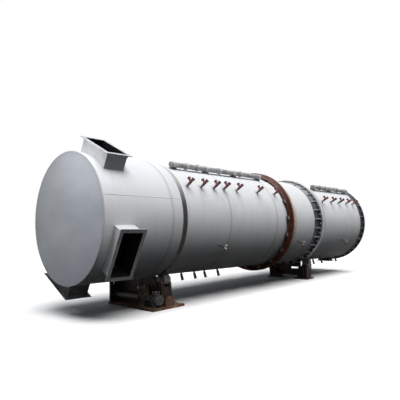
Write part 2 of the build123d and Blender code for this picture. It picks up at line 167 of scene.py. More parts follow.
# soft light from above, and a white background
light = {"skyLow": 0.03, "skyHigh": 0.24, "skyColor": (0.88, 0.94, 1), "backdrop": (1, 1, 1, 1),
         "sunStrength": 3.8, "sunAngle": 52, "sunFrom": (0, -0.36, 1),
         "fillPower": 30, "fillSize": 0.8, "fillPlace": (-3.2, -0.75, 3.3), "fillAim": (-1.74, -0.45, 2.2)}
world = bpy.data.worlds.new("studio")
scene.world = world
world.use_nodes = True
wt = world.node_tree
wt.nodes.clear()
height = addNode(wt, "SeparateXYZ", {0: addNode(wt, "TexCoord").outputs["Generated"]}).outputs["Z"]
skyGlow = addRange(wt, height, 0, 1, light["skyLow"], light["skyHigh"])
sky = addNode(wt, "Background", {"Color": (*light["skyColor"], 1), "Strength": skyGlow})
backdrop = addNode(wt, "Background", {"Color": light["backdrop"], "Strength": 1})
worldMix = addNode(wt, "MixShader", {0: seenByEye(wt), 1: sky.outputs[0], 2: backdrop.outputs[0]})
addNode(wt, "OutputWorld", {0: worldMix.outputs[0]})


def addLamp(name, kind, power, aim):
    lamp = bpy.data.lights.new(name, kind)
    lamp.energy = power
    obj = addObject(name, lamp)
    obj.rotation_euler = aim.to_track_quat("-Z", "Y").to_euler()
    return obj


sun = addLamp("softSun", "SUN", light["sunStrength"], -Vector(light["sunFrom"]))
sun.data.angle = radians(light["sunAngle"])
fillPlace = Vector(light["fillPlace"])
fill = addLamp("headFill", "AREA", light["fillPower"], Vector(light["fillAim"]) - fillPlace)
fill.data.size = light["fillSize"]
fill.location = fillPlace

# floor: pale to the eye, low in bounce, fading into the backdrop far away
ground = {"size": 120, "seen": (1, 1, 1), "bounce": (0.012, 0.012, 0.012),
          "fadeFrom": (3, 0, 0), "fadeStart": 7, "fadeEnd": 26}
floorMesh = bpy.data.meshes.new("floor")
bm = bmesh.new()
bmesh.ops.create_grid(bm, x_segments=1, y_segments=1, size=ground["size"])
bm.to_mesh(floorMesh)
bm.free()
floor = addObject("floor", floorMesh)
floorMat = bpy.data.materials.new("paleFloor")
floorMat.use_nodes = True
ft = floorMat.node_tree
ft.nodes.clear()
seen = seenByEye(ft)
matte = addNode(ft, "BsdfDiffuse", {"Color": mixColor(ft, seen, ground["bounce"], ground["seen"])})
far = addVector(ft, "DISTANCE", objectPlace(ft), ground["fadeFrom"])
fade = times(ft, addRange(ft, far, ground["fadeStart"], ground["fadeEnd"]), seen)
glow = addNode(ft, "Emission", {"Color": light["backdrop"], "Strength": 1})
floorMix = addNode(ft, "MixShader", {0: fade, 1: matte.outputs[0], 2: glow.outputs[0]})
addNode(ft, "OutputMaterial", {0: floorMix.outputs[0]})
floorMesh.materials.append(floorMat)
print("lights and floor set")


# shared effects, each a node group that puts out masks and values
def newGroup(name, ins, outs=("Mask",)):
    g = bpy.data.node_groups.new(name, "ShaderNodeTree")
    for label, value in ins.items():
        kind = "Vector" if isinstance(value, tuple) else "Float"
        g.interface.new_socket(label, in_out="INPUT", socket_type="NodeSocket" + kind).default_value = value
    for label in outs:
        g.interface.new_socket(label, in_out="OUTPUT", socket_type="NodeSocketFloat")
    return g, g.nodes.new("NodeGroupInput").outputs, g.nodes.new("NodeGroupOutput").inputs


def addGroup(tree, group, feeds=None):
    outs = addNode(tree, "Group", feeds, node_tree=group).outputs
    return outs["Mask"] if "Mask" in outs else outs


# place on the drum: metres along the axis, turn about it, distance from it
drumPlace, gi, go = newGroup("drumPlace", {}, ("Along", "Turn", "Radius"))
t = drumPlace
offset = addVector(t, "SUBTRACT", objectPlace(t), (0, 0, kiln["axisHeight"]))
along, up, out = [addVector(t, "DOT_PRODUCT", offset, d) for d in (axisDir, radial(0), radial(90))]
squares = addMath(t, "ADD", times(t, up, up), times(t, out, out))
t.links.new(along, go["Along"])
t.links.new(addMath(t, "ARCTAN2", out, up), go["Turn"])
t.links.new(addMath(t, "SQRT", squares), go["Radius"])

# mottling, fine or coarse, stretched along a direction where asked
ins = {"Scale": 5, "Detail": 4, "Stretch": (1, 1, 1), "Low": 0.4, "High": 0.7}
grain, gi, go = newGroup("grain", ins)
t = grain
stretched = addVector(t, "MULTIPLY", objectPlace(t), gi["Stretch"])
mottle = addNoise(t, gi["Scale"], gi["Detail"], 0.62, stretched)
t.links.new(addRange(t, mottle, gi["Low"], gi["High"]), go["Mask"])

# streaks that run round the drum, as rain and rust run down it
streaks, gi, go = newGroup("streaks", {"Across": 9, "Round": 0.8, "Low": 0.45, "High": 0.8})
t = streaks
place = addGroup(t, drumPlace)
lanes = addNode(t, "CombineXYZ", {0: times(t, place["Along"], gi["Across"]),
                                  1: times(t, place["Turn"], gi["Round"]),
                                  2: times(t, place["Radius"], 3)}).outputs[0]
lane = addNoise(t, 1, 5, 0.6, lanes)
t.links.new(addRange(t, lane, gi["Low"], gi["High"]), go["Mask"])

# bare or pale metal along the edges
edgeWear, gi, go = newGroup("edgeWear", {"Size": 0.006, "Low": 0.05, "High": 0.35, "Breakup": 14})
t = edgeWear
rounded = addNode(t, "Bevel", {"Radius": gi["Size"]}, samples=4).outputs[0]
bend = addVector(t, "DOT_PRODUCT", rounded, addNode(t, "NewGeometry").outputs["Normal"])
chips = times(t, addNoise(t, gi["Breakup"], 3), 2)
worn = times(t, flip(t, bend), chips)
t.links.new(addRange(t, worn, gi["Low"], gi["High"]), go["Mask"])

# a soft band round a value
band, gi, go = newGroup("band", {"Value": 0, "Middle": 0, "Half": 0.01, "Soft": 0.01})
t = band
away = addMath(t, "ABSOLUTE", addMath(t, "SUBTRACT", gi["Value"], gi["Middle"]))
beyond = addMath(t, "SUBTRACT", away, gi["Half"])
t.links.new(flip(t, addRange(t, beyond, 0, gi["Soft"])), go["Mask"])

# dust that lies on what faces up
topDust, gi, go = newGroup("topDust", {"Low": 0.2, "High": 0.9, "Scale": 7})
t = topDust
normal = addNode(t, "NewGeometry").outputs["Normal"]
faceUp = addNode(t, "SeparateXYZ", {0: normal}).outputs["Z"]
patches = addRange(t, addNoise(t, gi["Scale"], 5), 0.3, 0.65)
t.links.new(times(t, addRange(t, faceUp, gi["Low"], gi["High"]), patches), go["Mask"])

# inside the mouths of the three ducts and the chute: near the middle along the kiln and across it
mouths = {"middle": -1.348, "halfAxial": 0.186, "halfCross": 0.3845, "bareSide": -0.6,
          "chute": 7.27, "chuteTurn": 153, "chuteAxial": 0.101, "chuteCross": 0.171}
ductMouth, gi, go = newGroup("ductMouth", {})
t = ductMouth
place = addGroup(t, drumPlace)
across = times(t, place["Radius"], addMath(t, "SINE", place["Turn"]))
upward = times(t, place["Radius"], addMath(t, "COSINE", place["Turn"]))
inCross = addMath(t, "MAXIMUM", within(t, across, 0, mouths["halfCross"]),
                  within(t, upward, 0, mouths["halfCross"]))
inDuct = times(t, inCross, within(t, place["Along"], mouths["middle"], mouths["halfAxial"]))
inDuct = times(t, inDuct, addMath(t, "GREATER_THAN", across, mouths["bareSide"]))  # no fourth duct
fromChute = addMath(t, "SUBTRACT", place["Turn"], radians(mouths["chuteTurn"]))
besideChute = times(t, place["Radius"], addMath(t, "SINE", fromChute))
inChute = times(t, within(t, place["Along"], mouths["chute"], mouths["chuteAxial"]),
                within(t, besideChute, 0, mouths["chuteCross"]))
t.links.new(addMath(t, "MAXIMUM", inDuct, inChute), go["Mask"])


def addGrain(tree, scale, low=0.4, high=0.7, detail=4, stretch=(1, 1, 1)):
    feeds = {"Scale": scale, "Detail": detail, "Stretch": stretch, "Low": low, "High": high}
    return addGroup(tree, grain, feeds)


def addStreaks(tree, across, turns, low, high):
    return addGroup(tree, streaks, {"Across": across, "Round": turns, "Low": low, "High": high})


def addWear(tree, size, low, high):
    return addGroup(tree, edgeWear, {"Size": size, "Low": low, "High": high})


def addBand(tree, value, middle, half, soft):
    return addGroup(tree, band, {"Value": value, "Middle": middle, "Half": half, "Soft": soft})


def newFinish(name, specular):
    mat = bpy.data.materials.new(name)
    mat.use_nodes = True
    mat.node_tree.nodes["Principled BSDF"].inputs["Specular IOR Level"].default_value = specular
    return mat, mat.node_tree


def setFinish(mat, color, rough, height, strength, distance):
    t = mat.node_tree
    shader = t.nodes["Principled BSDF"].inputs
    bump = addNode(t, "Bump", {"Height": height, "Strength": strength, "Distance": distance})
    t.links.new(color, shader["Base Color"])
    t.links.new(bump.outputs[0], shader["Normal"])
    if rough:
        t.links.new(rough, shader["Roughness"])
    return mat


# silver paint: run-off streaks, grime along the seams, soot inside, rust dust beside the gear
paint = {"specular": 0.02, "rough": 0.46, "sootRough": 0.85, "cloudShade": 0.93,
         "runs": 0.2, "fineRuns": 0.12, "runTone": (0.38, 0.37, 0.36),
         "seams": (kiln["headSeam"], *kiln["seams"]), "seamGrime": 0.35,
         "rust": (0.5, 0.235, 0.12), "specks": 0.45, "gearDust": 0.6, "dustMiddle": 3.64,
         "soot": (0.022, 0.019, 0.017), "scale": (0.075, 0.055, 0.042),
         "bore": kiln["bore"], "mouths": False}


def silverPaint(name, tone, **changes):
    p = {**paint, **changes}
    mat, t = newFinish(name, p["specular"])
    place = addGroup(t, drumPlace)
    clouds = addGrain(t, 1.3, low=0.32, high=0.72, detail=5)
    color = mixColor(t, clouds, tone, [c * p["cloudShade"] for c in tone])
    runs = addStreaks(t, 7, 0.9, low=0.5, high=0.78)
    fineRuns = addStreaks(t, 34, 1.6, low=0.55, high=0.8)
    color = mixColor(t, runs, color, p["runTone"], p["runs"])
    color = mixColor(t, fineRuns, color, p["runTone"], p["fineRuns"])
    for x in p["seams"]:
        line = addBand(t, place["Along"], x, half=0.006, soft=0.05)
        color = mixColor(t, line, color, p["runTone"], p["seamGrime"])
    specks = addGrain(t, 46, low=0.7, high=0.78, detail=3)
    color = mixColor(t, specks, color, p["rust"], p["specks"])
    besideGear = addBand(t, place["Along"], p["dustMiddle"], half=0.06, soft=0.17)
    blown = times(t, besideGear, addGrain(t, 3.2, low=0.22, high=0.62))
    color = mixColor(t, blown, color, p["rust"], p["gearDust"])
    inside = flip(t, addRange(t, place["Radius"], p["bore"] + 0.001, p["bore"] + 0.004))
    if p["mouths"]:
        inside = addMath(t, "MAXIMUM", inside, addGroup(t, ductMouth))
    burnt = mixColor(t, addGrain(t, 5, detail=6), p["soot"], p["scale"])
    color = mixColor(t, inside, color, burnt)
    dull = addRange(t, addMath(t, "ADD", times(t, runs, 0.5), inside), 0, 1, p["rough"], p["sootRough"])
    waves = addMath(t, "ADD", addNoise(t, 2.2), times(t, addNoise(t, 160), 0.03))
    return setFinish(mat, color, dull, waves, strength=0.1, distance=0.02)


shellPaint = silverPaint("shellPaint", (0.76, 0.77, 0.785))
headPaint = silverPaint("headPaint", (0.74, 0.755, 0.775), gearDust=0, runs=0.16, bore=kiln["headBore"],
                        mouths=True)

# bluish end plate: rolled sheet, faint wipes, painted shade darkening the lower half, darker towards the rim
plate = {"tone": (0.485, 0.51, 0.545), "shade": (0.405, 0.432, 0.478), "specular": 0.2, "rough": (0.4, 0.56),
         "wipeStretch": (1, 1, 2.4), "paintedShade": (0.22, 0.245, 0.3), "paintedShadeAmount": 0.55,
         "paintedShadeHeights": (1.45, 0.5), "rim": (0.3, 0.31, 0.33), "rimAmount": 0.3, "rimRadius": 1.112,
         "rust": (0.26, 0.17, 0.12), "rustAmount": 0.35, "edge": (0.72, 0.73, 0.74)}
endPaint, t = newFinish("endPaint", plate["specular"])
place = addGroup(t, drumPlace)
wipes = addGrain(t, 0.9, low=0.3, high=0.75, stretch=plate["wipeStretch"])
color = mixColor(t, wipes, plate["tone"], plate["shade"])
# painted shade: the plate turns darker and bluer towards the bottom
shadedLow = addRange(t, spotOf(t)["Z"], *plate["paintedShadeHeights"])
color = mixColor(t, shadedLow, color, plate["paintedShade"], plate["paintedShadeAmount"])
rim = addBand(t, place["Radius"], plate["rimRadius"], half=0.004, soft=0.05)
color = mixColor(t, rim, color, plate["rim"], plate["rimAmount"])
color = mixColor(t, addGrain(t, 38, low=0.7, high=0.8), color, plate["rust"], plate["rustAmount"])
color = mixColor(t, addWear(t, 0.01, 0.05, 0.35), color, plate["edge"])
dull = addRange(t, wipes, 0, 1, *plate["rough"])
setFinish(endPaint, color, dull, addNoise(t, 1.8, 3), strength=0.12, distance=0.02)

# ducts: grey outside, black where the gas goes
duct = {"black": (0.01, 0.01, 0.011), "edge": (0.66, 0.67, 0.68), "rust": (0.24, 0.15, 0.1),
        "rustAmount": 0.4, "specular": 0.04, "rough": (0.5, 0.95)}


def ductFinish(name, tone, shade, wear):
    mat, t = newFinish(name, duct["specular"])
    color = mixColor(t, addGrain(t, 3, low=0.35, detail=6), tone, shade)
    color = mixColor(t, addGrain(t, 24, low=0.66, high=0.78), color, duct["rust"], duct["rustAmount"])
    color = mixColor(t, addWear(t, *wear), color, duct["edge"])
    inside = addGroup(t, ductMouth)
    color = mixColor(t, inside, color, duct["black"])
    dull = addRange(t, inside, 0, 1, *duct["rough"])
    return setFinish(mat, color, dull, addNoise(t, 5, 4), strength=0.12, distance=0.012)


ductPaint = ductFinish("ductPaint", (0.52, 0.53, 0.545), (0.43, 0.44, 0.455), (0.006, 0.1, 0.5))
# painted shade: a near-black copy of the duct finish for the chute under the drum
shadedChutePaint = ductFinish("shadedChutePaint", (0.062, 0.062, 0.064), (0.036, 0.035, 0.034), (0.006, 0.2, 0.8))
flangePaint = ductFinish("flangePaint", (0.55, 0.555, 0.565), (0.38, 0.385, 0.39), (0.01, 0.04, 0.3))

# rolled or cast steel: base tone, blotches, edge shine as size, low and high, dust on top, painted light
# paler towards the top
steel = {"rough": 0.5, "specular": 0.35, "wear": (0.006, 0.08, 0.45), "blotch": 8, "pits": 0.2,
         "fineShare": 7, "pitShare": 9, "fineShade": 0.6, "fineAmount": 0.4,
         "dust": None, "dustAmount": 0, "specks": None,
         "nearStain": None, "stainX": (-0.45, 0.15, 0.35, 1), "stainY": (-0.3, -0.62),
         "bleached": None, "bleachedHeights": (1.75, 2.65), "bleachedAmount": 0.9}


def steelFinish(name, tone, shade, edge, **changes):
    s = {**steel, **changes}
    mat, t = newFinish(name, s["specular"])
    blotches = addGrain(t, s["blotch"], low=0.34, high=0.68, detail=6)
    fine = addGrain(t, s["blotch"] * s["fineShare"], low=0.45, high=0.75)
    color = mixColor(t, blotches, tone, shade)
    color = mixColor(t, fine, color, [c * s["fineShade"] for c in shade], s["fineAmount"])
    if s["nearStain"]:  # ochre and red on the corner that the weather reaches
        spot = spotOf(t)
        reach = times(t, addRange(t, spot["Y"], *s["stainY"]), addRange(t, spot["X"], *s["stainX"]))
        stain = mixColor(t, addGrain(t, 11, low=0.42, high=0.58), *s["nearStain"])
        color = mixColor(t, times(t, reach, addGrain(t, 6, low=0.25, high=0.55)), color, stain)
    if s["bleached"]:  # painted light: paler towards the top, where the light falls
        high = addRange(t, spotOf(t)["Z"], *s["bleachedHeights"])
        color = mixColor(t, high, color, s["bleached"], s["bleachedAmount"])
    if s["specks"]:
        color = mixColor(t, addGrain(t, 55, low=0.62, high=0.7, detail=2), color, s["specks"])
    if s["dust"]:
        color = mixColor(t, addGroup(t, topDust), color, s["dust"], s["dustAmount"])
    color = mixColor(t, addWear(t, *s["wear"]), color, edge)
    dull = addRange(t, blotches, 0, 1, max(s["rough"] - 0.12, 0.2), min(s["rough"] + 0.14, 0.95))
    pitting = addNoise(t, s["blotch"] * s["pitShare"], 5)
    return setFinish(mat, color, dull, pitting, strength=s["pits"], distance=0.006)


# running surfaces: lines turned round the drum, dust and painted light making the top paler, painted shadow
# lines along the edges
tyre = {"rough": (0.34, 0.6), "shadowLineTone": (0.03, 0.029, 0.028), "shadowLineHalf": 0.009, "tyreLitHeights": (1.8, 2.6)}


def tyreFinish(name, tone, shade, bright, shadowLines=(), specular=0.3, dust=None):
    mat, t = newFinish(name, specular)
    place = addGroup(t, drumPlace)
    turning = addNode(t, "CombineXYZ", {0: times(t, place["Along"], 120), 1: place["Turn"]}).outputs[0]
    lines = addNoise(t, 1, 4, vector=turning)
    patches = addStreaks(t, 6, 3, low=0.4, high=0.75)
    color = mixColor(t, patches, tone, shade)
    color = mixColor(t, addRange(t, lines, 0.45, 0.7), color, bright, 0.35)
    color = mixColor(t, addWear(t, 0.006, 0.05, 0.4), color, bright)
    # dust and painted light: the rubbed lines turn paler towards the top
    if dust:
        dustAndTopLight = times(t, addRange(t, spotOf(t)["Z"], *tyre["tyreLitHeights"]), addRange(t, lines, 0.25, 0.6))
        color = mixColor(t, dustAndTopLight, color, dust)
    # painted shadow: dark lines where the tyre's edges cast shade
    for x in shadowLines:
        line = addBand(t, place["Along"], x, half=tyre["shadowLineHalf"], soft=0.004)
        color = mixColor(t, line, color, tyre["shadowLineTone"])
    dull = addRange(t, patches, 0, 1, *tyre["rough"])
    return setFinish(mat, color, dull, lines, strength=0.12, distance=0.003)


# front tyre: dust and painted light make its top paler
frontTyreSteel = tyreFinish(
    "frontTyreSteel", (0.046, 0.044, 0.043), (0.075, 0.07, 0.066), (0.24, 0.235, 0.23), specular=0.08,
    dust=(0.66, 0.655, 0.64))
# rear tyre: painted shadow lines at both its edges
rearTyreSteel = tyreFinish(
    "rearTyreSteel", (0.6, 0.6, 0.6), (0.46, 0.455, 0.45), (0.76, 0.76, 0.76), shadowLines=(5.116, 5.209))
# girth gear: painted light, paler towards the top
gearRust = steelFinish(
    "gearRust", (0.15, 0.052, 0.03), (0.092, 0.034, 0.021), (0.3, 0.15, 0.095), rough=0.72, blotch=10,
    specular=0.05, bleached=(0.4, 0.235, 0.205), wear=(0.006, 0.12, 0.6), pits=0.35)
lugPaint = steelFinish("lugPaint", (0.05, 0.046, 0.044), (0.09, 0.07, 0.06), (0.5, 0.49, 0.47), rough=0.6)
# joint: painted light, paler towards the top
jointPaint = steelFinish(
    "jointPaint", (0.066, 0.069, 0.076), (0.042, 0.043, 0.048), (0.56, 0.57, 0.58),
    bleached=(0.46, 0.465, 0.475), specular=0.1, wear=(0.009, 0.03, 0.25))
ribPaint = steelFinish(
    "ribPaint", (0.52, 0.53, 0.55), (0.34, 0.34, 0.36), (0.8, 0.8, 0.8), wear=(0.007, 0.03, 0.3))
rimPaint = steelFinish(
    "rimPaint", (0.62, 0.625, 0.64), (0.5, 0.5, 0.51), (0.8, 0.8, 0.8), rough=0.42, blotch=4)
# end ring: painted light, paler towards the top
endRingPaint = steelFinish(
    "endRingPaint", (0.052, 0.055, 0.066), (0.034, 0.035, 0.04), (0.42, 0.42, 0.43),
    bleached=(0.3, 0.305, 0.315), specular=0.1, wear=(0.008, 0.05, 0.35))
endRibPaint = steelFinish("endRibPaint", (0.26, 0.265, 0.28), (0.15, 0.152, 0.16), (0.7, 0.7, 0.7))
headerPaint = steelFinish(
    "headerPaint", (0.44, 0.45, 0.46), (0.24, 0.24, 0.24), (0.7, 0.7, 0.7), blotch=9)
saddlePaint = steelFinish(
    "saddlePaint", (0.17, 0.17, 0.175), (0.09, 0.088, 0.086), (0.6, 0.6, 0.6), rough=0.55)
strapPaint = steelFinish(
    "strapPaint", (0.74, 0.74, 0.73), (0.58, 0.57, 0.55), (0.85, 0.85, 0.84), blotch=18)
boltSteel = steelFinish(
    "boltSteel", (0.6, 0.6, 0.59), (0.4, 0.38, 0.36), (0.82, 0.82, 0.8), rough=0.35, blotch=30,
    specular=0.6)
rollerSteel = steelFinish(
    "rollerSteel", (0.052, 0.046, 0.042), (0.095, 0.08, 0.07), (0.55, 0.53, 0.5), rough=0.42,
    wear=(0.01, 0.06, 0.4), blotch=12, pits=0.12, specular=0.5)
rollerRim = steelFinish(
    "rollerRim", (0.42, 0.41, 0.4), (0.24, 0.22, 0.2), (0.75, 0.74, 0.72), rough=0.32, blotch=16,
    pits=0.08, specular=0.6)
bearingPaint = steelFinish(
    "bearingPaint", (0.034, 0.024, 0.019), (0.02, 0.015, 0.013), (0.2, 0.15, 0.12), blotch=14,
    specular=0.25)
basePaint = steelFinish(
    "basePaint", (0.05, 0.03, 0.02), (0.024, 0.016, 0.013), (0.28, 0.19, 0.1), rough=0.75, blotch=7,
    dust=(0.13, 0.085, 0.05), dustAmount=0.45, pits=0.35, specular=0.2,
    nearStain=((0.24, 0.1, 0.062), (0.34, 0.26, 0.11)))
standPaint = steelFinish(
    "standPaint", (0.018, 0.013, 0.011), (0.036, 0.023, 0.018), (0.13, 0.088, 0.066), rough=0.58, blotch=9,
    dust=(0.11, 0.08, 0.06), dustAmount=0.35, specular=0.15)
housingPaint = steelFinish(
    "housingPaint", (0.115, 0.052, 0.028), (0.046, 0.024, 0.016), (0.3, 0.17, 0.1), blotch=16,
    specular=0.3)
reducerPaint = steelFinish(
    "reducerPaint", (0.165, 0.12, 0.078), (0.085, 0.062, 0.043), (0.32, 0.26, 0.19), rough=0.65,
    blotch=12, dust=(0.3, 0.24, 0.17), dustAmount=0.5)
motorPaint = steelFinish(
    "motorPaint", (0.02, 0.02, 0.021), (0.036, 0.032, 0.029), (0.3, 0.3, 0.29), blotch=18,
    wear=(0.005, 0.05, 0.4), specks=(0.5, 0.49, 0.46), specular=0.3)
shaftPaint = steelFinish(
    "shaftPaint", (0.03, 0.028, 0.028), (0.046, 0.04, 0.036), (0.18, 0.17, 0.16), blotch=10,
    specular=0.25)


# nozzle fittings: stub at the shell, darker branch on one side of each row, coloured or pale end
fitting = {"specular": 0.3, "rowGap": (3.9, 4.1)}


def nozzleFinish(name, fit):
    mat, t = newFinish(name, fitting["specular"])
    place = addGroup(t, drumPlace)
    color = mixColor(t, addGrain(t, 20, low=0.35), fit["body"], fit["bodyShade"])
    color = mixColor(t, addWear(t, 0.005, 0.1, 0.5), color, fit["edge"])
    atStub = flip(t, addRange(t, place["Radius"], fit["stubTop"] - 0.01, fit["stubTop"] + 0.005))
    color = mixColor(t, atStub, color, fit["stub"])
    atEnd = addRange(t, place["Radius"], fit["endFoot"] - 0.004, fit["endFoot"] + 0.004)
    color = mixColor(t, atEnd, color, fit["end"])
    beside, frontTurn, rearTurn = fit["side"]
    turns = radians(frontTurn), radians(rearTurn)
    rowSide = addRange(t, place["Along"], *fitting["rowGap"], *turns)
    color = mixColor(t, addMath(t, beside, place["Turn"], rowSide), color, fit["branch"])
    return setFinish(mat, color, None, addNoise(t, 90), strength=0.2, distance=0.003)


teePrimer = nozzleFinish("teePrimer", {
    "body": (0.34, 0.092, 0.092), "bodyShade": (0.19, 0.05, 0.054), "edge": (0.44, 0.22, 0.19),
    "branch": (0.12, 0.046, 0.044), "side": ("LESS_THAN", 28, 32),
    "stub": (0.2, 0.198, 0.196), "stubTop": 1.2, "end": (0.036, 0.028, 0.028), "endFoot": 1.299})
# painted shade: a darker copy of the tee finish for the bottom row under the drum
shadedTeePrimer = nozzleFinish("shadedTeePrimer", {
    "body": (0.07, 0.018, 0.022), "bodyShade": (0.034, 0.012, 0.015), "edge": (0.16, 0.06, 0.05),
    "branch": (0.07, 0.018, 0.022), "side": ("LESS_THAN", 28, 32),
    "stub": (0.05, 0.046, 0.046), "stubTop": 1.16, "end": (0.11, 0.022, 0.03), "endFoot": 1.251})
slimBrass = nozzleFinish("slimBrass", {
    "body": (0.06, 0.048, 0.032), "bodyShade": (0.03, 0.025, 0.02), "edge": (0.4, 0.34, 0.22),
    "branch": (0.07, 0.056, 0.034), "side": ("GREATER_THAN", 90.7, 90.7),
    "stub": (0.045, 0.04, 0.034), "stubTop": 1.15, "end": (0.74, 0.72, 0.66), "endFoot": 1.262})

slotFinish = {"shell": shellPaint, "head": headPaint, "end_plate": endPaint, "duct": ductPaint,
              "duct_flange": flangePaint, "front_tyre": frontTyreSteel, "girth_gear": gearRust,
              "gear_lugs": lugPaint, "rear_tyre": rearTyreSteel, "joint": jointPaint, "joint_rim": rimPaint,
              "end_flange": endRingPaint, "header": headerPaint, "saddles": saddlePaint, "nozzles": teePrimer,
              "rollers": rollerSteel, "bearings": bearingPaint, "base": basePaint, "stands": standPaint,
              "tie_beam": standPaint, "housing": housingPaint, "reducer": reducerPaint,
              "motor": motorPaint, "drive_steel": shaftPaint}
nodeFinish = {"side_nozzles": slimBrass, "bottom_nozzles": shadedTeePrimer, "rear_chute": shadedChutePaint,
              "rear_chute_flange": shadedChutePaint, "joint_gussets": ribPaint, "end_gussets": endRibPaint}
for sub in frame["record"]["subparts"]:
    obj = nodes[sub["node"]]
    obj.data.materials.clear()
    obj.data.materials.append(nodeFinish.get(sub["node"], slotFinish[sub["material_slot"]]))
print("finishes set,", len(slotFinish), "slots")

# shapes that the detail pieces are made of
drumFrame = frameFrom(onAxis(0), radial(0), axisDir)
meshing = {"merge": 0.000002, "sharpAngle": 35}


def newPiece(name, bm, finish, body):
    bmesh.ops.remove_doubles(bm, verts=bm.verts, dist=meshing["merge"])
    bmesh.ops.recalc_face_normals(bm, faces=bm.faces)
    for face in bm.faces:
        face.smooth = True
    mesh = bpy.data.meshes.new(name)
    bm.to_mesh(mesh)
    bm.free()
    mesh.set_sharp_from_angle(angle=radians(meshing["sharpAngle"]))
    mesh.materials.append(finish)
    piece = addObject(name, mesh)
    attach(piece, body)
    return piece


def addLoop(bm, corners):
    verts = [bm.verts.new(c) for c in corners]
    return verts + [bm.edges.new((verts[i - 1], verts[i])) for i in range(len(verts))]


# a closed profile of radius and height, spun about the z of its place
def spinRing(bm, profile, place, steps):
    loop = addLoop(bm, [place @ Vector((r, 0, z)) for r, z in profile])
    bmesh.ops.spin(bm, geom=loop, cent=place.translation, axis=place.to_3x3().col[2],
                   angle=2 * pi, steps=steps, use_merge=True)


def flatRing(inner, outer, start, end):
    return [(inner, start), (outer, start), (outer, end), (inner, end)]


def addBar(bm, size, place, bevel=0.003):
    made = bmesh.ops.create_cube(bm, size=1, matrix=place @ Matrix.Diagonal((*size, 1)))["verts"]
    edges = list({e for v in made for e in v.link_edges})
    bmesh.ops.bevel(bm, geom=edges, offset=bevel, offset_type="OFFSET", segments=2, profile=0.5,
                    affect="EDGES", material=-1)


def addRod(bm, start, end, radius, segments):
    run = end - start
    place = frameFrom((start + end) / 2, run.orthogonal(), run)
    bmesh.ops.create_cone(bm, cap_ends=True, segments=segments, radius1=radius, radius2=radius,
                          depth=run.length, matrix=place)


def at(x, y, z):
    return Matrix.Translation((x, y, z))


# washer, hexagon and thread end: sides, then lower and upper radius, base and depth as shares of the size
boltShares = ((14, 1.25, 1.25, 0, 0.22), (6, 1, 0.92, 0.22, 0.78), (10, 0.55, 0.45, 1, 0.32))


def addBolt(bm, place, size):
    for sides, low, high, base, depth in boltShares:
        lift = at(0, 0, (base + depth / 2) * size)
        bmesh.ops.create_cone(bm, cap_ends=True, segments=sides, radius1=low * size, radius2=high * size,
                              depth=depth * size, matrix=place @ lift)


# a flat outline drawn out to the thickness of a plate
def addPlate(bm, corners, way):
    face = bm.faces.new([bm.verts.new(c) for c in corners])
    grown = bmesh.ops.extrude_face_region(bm, geom=[face])["geom"]
    bmesh.ops.translate(bm, verts=[v for v in grown if isinstance(v, bmesh.types.BMVert)], vec=way)


# one of the places round a circle
def turned(index, count, place, start=0):
    return Matrix.Rotation(index * 2 * pi / count + start, 4, "Z") @ at(*place)


# bolts round a circle: how many, the first one's place, their size and the turn of the first
def addBoltCircle(bm, place, count, spot, size, start=0):
    for k in range(count):
        addBolt(bm, place @ turned(k, count, spot, start), size)


# angles set evenly round the drum
def evenly(count, shift=0):
    return [(i + shift) * 360 / count for i in range(count)]


# on the face of a ring, looking along the drum
def onRing(x, angle, reach, way):
    return frameFrom(around(x, angle, reach), radial(angle), axisDir * way)


# weld beads of the rolled plates, round and along
bead = {"half": 0.008, "shoulder": 0.0048, "shoulderRise": 0.0028, "rise": 0.004, "sunk": 0.004, "way": 1}
innerBead = {**bead, "shoulder": 0.004, "shoulderRise": 0.003, "way": -1}


def beadProfile(reach, x, form):
    line = ((-form["half"], -form["sunk"]), (-form["shoulder"], form["shoulderRise"]), (0, form["rise"]),
            (form["shoulder"], form["shoulderRise"]), (form["half"], -form["sunk"]))
    return [(reach + rise * form["way"], x + shift) for shift, rise in line]


welds = {"radius": 0.006, "sunk": 0.002, "segments": 10, "steps": 128, "innerSteps": 96,
         "along": ((-62, -0.06, 1.29), (118, 1.3, 2.94), (20, 2.95, 3.3),
                   (200, 3.52, 4.64), (-38, 5.24, 7.46))}


def addSeam(bm, reach, angle, start, end):
    low = reach - welds["sunk"]
    addRod(bm, around(start, angle, low), around(end, angle, low), welds["radius"], welds["segments"])


bm = bmesh.new()
for x in kiln["seams"]:
    spinRing(bm, beadProfile(kiln["shell"], x, bead), drumFrame, welds["steps"])
for angle, start, end in welds["along"]:
    addSeam(bm, kiln["shell"], angle, start, end)
newPiece("shell_welds", bm, shellPaint, "drum")

headWelds = {"seam": (45.5, -1.7, -0.08),
             "fillet": ((-0.005, 0), (0.006, 0), (0.0015, 0.012), (-0.005, 0.012))}
bm = bmesh.new()
spinRing(bm, beadProfile(kiln["head"], kiln["headSeam"], bead), drumFrame, welds["steps"])
addSeam(bm, kiln["head"], *headWelds["seam"])
fillet = [(kiln["head"] + rise, kiln["headStart"] + run) for rise, run in headWelds["fillet"]]
spinRing(bm, fillet, drumFrame, welds["steps"])
newPiece("head_welds", bm, headPaint, "drum")

bm = bmesh.new()
for x in kiln["seams"]:
    spinRing(bm, beadProfile(kiln["bore"], x, innerBead), drumFrame, welds["innerSteps"])
newPiece("inner_welds", bm, shellPaint, "drum")


